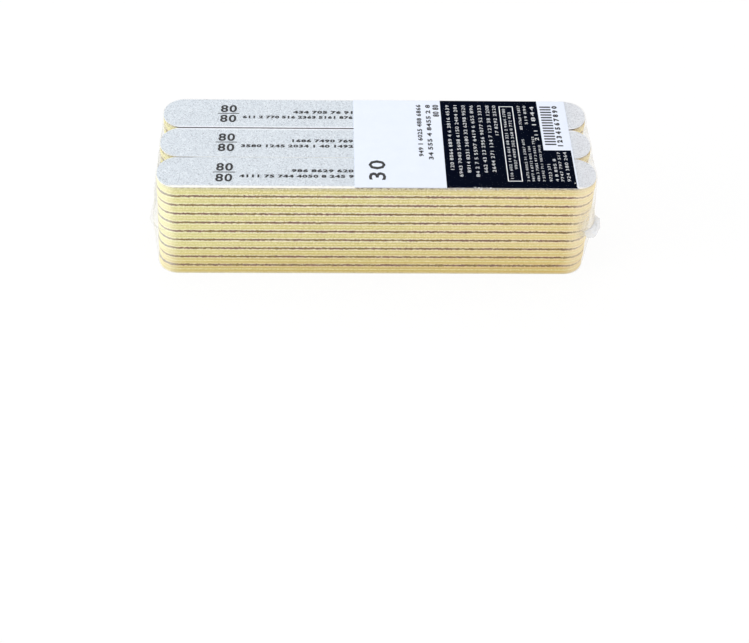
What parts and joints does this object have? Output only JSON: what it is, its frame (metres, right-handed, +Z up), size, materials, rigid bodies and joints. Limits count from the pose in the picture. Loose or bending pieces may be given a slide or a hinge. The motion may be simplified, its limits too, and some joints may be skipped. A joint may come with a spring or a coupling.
{
  "type": "pack of nail files",
  "caption": "Shrink-wrapped trade pack of cushioned two-sided emery boards in stacks side by side, under a printed card in sealed clear film.",
  "frame": {"origin": "middle of the flat film face that the pack rests on", "axes": "+X along the boards towards the card's end, +Y to the rear where the long weld is, +Z up"},
  "size_m": [0.1858, 0.0576, 0.0479],
  "materials": {
    "abrasive_paper": "gritty, matt",
    "foam": "closed-cell foam, matt",
    "core_board": "cut edge, matt",
    "printed_card": "coated, satin",
    "clear_film": "clear, glossy"
  },
  "bodies": {
    "root": {"tier_01_bottom_paper": "abrasive_paper", "tier_01_lower_foam": "foam", "tier_01_core": "core_board", "tier_01_upper_foam": "foam", "tier_01_top_paper": "abrasive_paper", "tier_02_bottom_paper": "abrasive_paper", "tier_02_lower_foam": "foam", "tier_02_core": "core_board", "tier_02_upper_foam": "foam", "tier_02_top_paper": "abrasive_paper", "tier_03_bottom_paper": "abrasive_paper", "tier_03_lower_foam": "foam", "tier_03_core": "core_board", "tier_03_upper_foam": "foam", "tier_03_top_paper": "abrasive_paper", "tier_04_bottom_paper": "abrasive_paper", "tier_04_lower_foam": "foam", "tier_04_core": "core_board", "tier_04_upper_foam": "foam", "tier_04_top_paper": "abrasive_paper", "tier_05_bottom_paper": "abrasive_paper", "tier_05_lower_foam": "foam", "tier_05_core": "core_board", "tier_05_upper_foam": "foam", "tier_05_top_paper": "abrasive_paper", "tier_06_bottom_paper": "abrasive_paper", "tier_06_lower_foam": "foam", "tier_06_core": "core_board", "tier_06_upper_foam": "foam", "tier_06_top_paper": "abrasive_paper", "tier_07_bottom_paper": "abrasive_paper", "tier_07_lower_foam": "foam", "tier_07_core": "core_board", "tier_07_upper_foam": "foam", "tier_07_top_paper": "abrasive_paper", "tier_08_bottom_paper": "abrasive_paper", "tier_08_lower_foam": "foam", "tier_08_core": "core_board", "tier_08_upper_foam": "foam", "tier_08_top_paper": "abrasive_paper", "tier_09_bottom_paper": "abrasive_paper", "tier_09_lower_foam": "foam", "tier_09_core": "core_board", "tier_09_upper_foam": "foam", "tier_09_top_paper": "abrasive_paper", "tier_10_bottom_paper": "abrasive_paper", "tier_10_lower_foam": "foam", "tier_10_core": "core_board", "tier_10_upper_foam": "foam", "tier_10_top_paper": "abrasive_paper", "label_card": "printed_card", "shrink_film": "clear_film"}
  },
  "joints": []
}
